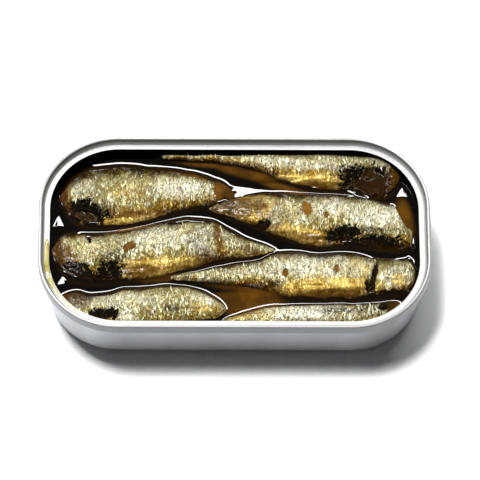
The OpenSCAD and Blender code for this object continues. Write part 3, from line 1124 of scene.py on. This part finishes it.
def makePuddle():
    # oil spilled on the ledge at the left end and round the front corner
    look = puddleLook
    lowest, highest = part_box("lid_ring")
    ledgeTop = highest.z / mm - look["drop"]
    radius = tinWall["corner"] - look["inset"]
    sideX = lowest.x / mm + look["inset"]
    cornerX, cornerY = (side / mm + tinWall["corner"] for side in lowest[:2])
    straight = look["from"] - cornerY
    pinchAt, pinchLong, pinchDeep = look["pinch"]
    points = []
    for i in range(look["rings"]):
        t = i / (look["rings"] - 1)
        run = t * look["length"]
        if run < straight:
            x, y, nx, ny = sideX, look["from"] - run, 1.0, 0.0
        else:
            turn = math.pi + (run - straight) / radius
            x, y = cornerX + radius * math.cos(turn), cornerY + radius * math.sin(turn)
            nx, ny = -math.cos(turn), -math.sin(turn)
        full = math.sqrt(max(1 - (2 * t - 1) ** 10, 0.0)) * (1 - look["thinning"] * smooth((t - 0.42) / 0.5))
        full *= 1 - pinchDeep * math.exp(-((t - pinchAt) / pinchLong) ** 2)
        for k in range(look["around"]):
            a = -2 * math.pi * k / look["around"]
            across = math.cos(a) * look["halfWidth"] * full + 0.05 * math.sin(9 * t)
            lift = max(math.sin(a), -0.12) * look["height"] * full
            points.append((x + nx * across, y + ny * across, ledgeTop + 0.02 + lift))
    return makeMesh("oil_puddle", points, tubeFaces(look["rings"], look["around"]))


def makePuddleMaterial():
    material, tree, shader = newMaterial("spilledOil")
    drift = addStreaks(tree, 3.0, (1, 1, 1), 0.4, 0.3, 0.7)
    tree.links.new(addMix(tree, drift, *puddleLook["colours"]), shader.inputs["Base Color"])
    tree.links.new(addBump(tree, drift, 0.05), shader.inputs["Normal"])
    setInputs(shader, Roughness=0.08)
    return material


puddle = makePuddle()
puddle.data.materials.append(makePuddleMaterial())
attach(puddle, "root")
print("spilled oil is on the ledge")


canLook = {
    "colour": (0.36, 0.375, 0.39),
    "drift": 0.86,  # share of the colour in the darker vertical bands, painted reflections in the wall
    "roughness": 0.36,
    "metallic": 0.6,
    "relief": 0.01,  # mm
}

ringLook = {
    "depth": 3.2,  # from the seam's outer face to past the ledge's edge, mm
    # tones across that depth, painted light and shade: the crown with darker lines at its edges, then a dark
    # groove and the darker wall inside it as painted shade, a bright line where it meets the ledge, and the
    # ledge, darker again at its inner edge
    "lightAndShadeTones": [
        (0.00, (0.15, 0.15, 0.155)),
        (0.06, (0.25, 0.25, 0.25)),
        (0.27, (0.28, 0.28, 0.28)),
        (0.32, (0.10, 0.10, 0.10)),
        (0.38, (0.15, 0.15, 0.15)),
        (0.50, (0.40, 0.40, 0.39)),
        (0.55, (0.29, 0.29, 0.285)),
        (0.91, (0.30, 0.30, 0.29)),
        (0.97, (0.16, 0.16, 0.155)),
    ],
    "drift": (0.90, 0.90, 0.91),
    "hem": (17.1, 17.5),  # heights of the hem under the crown, where its shade is painted in, mm
    # painted shade colour of the hem
    "hemShadeColour": (0.10, 0.10, 0.105),
    "roughness": 0.32,
    "metallic": 0.3,
    "relief": 0.012,  # mm
}


def makeCanMaterial():
    look = canLook
    material, tree, shader = newMaterial("can_metal")
    # darker vertical bands, painted reflections in the wall
    drift = addStreaks(tree, 9.0, (1, 1, 0.12), 0.1, 0.35, 0.65)
    rub = addStreaks(tree, 0.8, (0.15, 0.15, 3.0), 0.2, 0.35, 0.65)
    darker = tuple(look["drift"] * part for part in look["colour"])
    tree.links.new(addMix(tree, drift, darker, look["colour"]), shader.inputs["Base Color"])
    tree.links.new(plus(tree, look["roughness"], times(tree, rub, 0.08)), shader.inputs["Roughness"])
    tree.links.new(addBump(tree, rub, look["relief"]), shader.inputs["Normal"])
    setInputs(shader, Metallic=look["metallic"])
    return material


def addFromRim(tree):
    # how far a point stands in from the seam's outer face and how high it lies, mm
    place = addNode(tree, "ShaderNodeTexCoord")
    parts = addNode(tree, "ShaderNodeSeparateXYZ")
    tree.links.new(place.outputs["Object"], parts.inputs[0])
    squares = []
    for axis, side in zip(("X", "Y"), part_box("lid_ring")[1][:2]):
        size = addMath(tree, "ABSOLUTE", times(tree, parts.outputs[axis], 1 / mm))
        over = greatest(tree, minus(tree, size, side / mm - tinWall["corner"]), 0.0)
        squares.append(addMath(tree, "POWER", over, 2.0))
    fromCentre = addMath(tree, "SQRT", plus(tree, *squares))
    return minus(tree, tinWall["corner"], fromCentre), times(tree, parts.outputs["Z"], 1 / mm)


def makeRingMaterial():
    look = ringLook
    material, tree, shader = newMaterial("lid_ring_metal")
    drift = addStreaks(tree, 18.0, (1, 1, 1), 0.2, 0.3, 0.7)
    rub = addStreaks(tree, 0.9, (1, 1, 3.0), 0.4, 0.35, 0.65)
    fromRim, height = addFromRim(tree)
    # painted light and shade across the seam and ledge
    tone = addRamp(tree, addMath(tree, "DIVIDE", fromRim, look["depth"]), look["lightAndShadeTones"])
    tint = addMix(tree, times(tree, drift, 0.6), tone, look["drift"], "MULTIPLY")
    # painted shade on the hem under the crown
    hem = addRange(tree, height, *look["hem"], 0.45, 0.0)
    tree.links.new(addMix(tree, hem, tint, look["hemShadeColour"]), shader.inputs["Base Color"])
    tree.links.new(plus(tree, look["roughness"], times(tree, rub, 0.10)), shader.inputs["Roughness"])
    tree.links.new(addBump(tree, rub, look["relief"]), shader.inputs["Normal"])
    setInputs(shader, Metallic=look["metallic"])
    return material


for node, metal in (("can", makeCanMaterial()), ("lid_ring", makeRingMaterial())):
    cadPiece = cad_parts[node]
    cadPiece.data.materials.clear()
    cadPiece.data.materials.append(metal)
print("tin has its metal")


studioLook = {
    "floorSize": 2.5,  # metres to each side
    "floorColour": (0.9, 0.9, 0.9, 1),
    "ambient": 0.055,
    "lights": {
        # degrees to the left of the back, height in degrees, distance, width, depth, watts
        "backStrip": (8, 49, 1.3, 1.9, 0.15, 19),
        "highSoft": (54, 73, 1.3, 0.4, 0.4, 34),
    },
}


def makeFloor():
    size = studioLook["floorSize"]
    mesh = bpy.data.meshes.new("floor")
    corners = [(-size, -size, 0), (size, -size, 0), (size, size, 0), (-size, size, 0)]
    mesh.from_pydata(corners, [], [(0, 1, 2, 3)])
    floor = bpy.data.objects.new("floor", mesh)
    bpy.context.scene.collection.objects.link(floor)
    material, tree, shader = newMaterial("floorWhite")
    setInputs(shader, Base_Color=studioLook["floorColour"], Roughness=0.9, Specular_IOR_Level=0.1)
    mesh.materials.append(material)


def makeLight(name, side, height, distance, width, depth, watts):
    data = bpy.data.lights.new(name, "AREA")
    data.shape = "RECTANGLE"
    data.size, data.size_y = width, depth
    data.energy = watts
    light = bpy.data.objects.new(name, data)
    a, e = math.radians(side), math.radians(height)
    place = Vector((-math.sin(a) * math.cos(e), math.cos(a) * math.cos(e), math.sin(e))) * distance
    light.location = place
    light.rotation_mode = "QUATERNION"
    light.rotation_quaternion = place.to_track_quat("Z", "Y")
    bpy.context.scene.collection.objects.link(light)
    return light


def makeStudio():
    makeFloor()
    lights = {name: makeLight(name, *values) for name, values in studioLook["lights"].items()}
    # the high light leaves out the oil, which would mirror it
    spared = bpy.data.collections.new("sparedBySoft")
    spared.objects.link(oilPiece)
    lights["highSoft"].light_linking.receiver_collection = spared
    spared.collection_objects[0].light_linking.link_state = "EXCLUDE"
    world = bpy.data.worlds.new("studio")
    world.use_nodes = True
    setInputs(world.node_tree.nodes["Background"], Color=(1, 1, 1, 1), Strength=studioLook["ambient"])
    bpy.context.scene.world = world
    bpy.context.scene.view_settings.view_transform = "Standard"


makeStudio()
print("studio is lit")
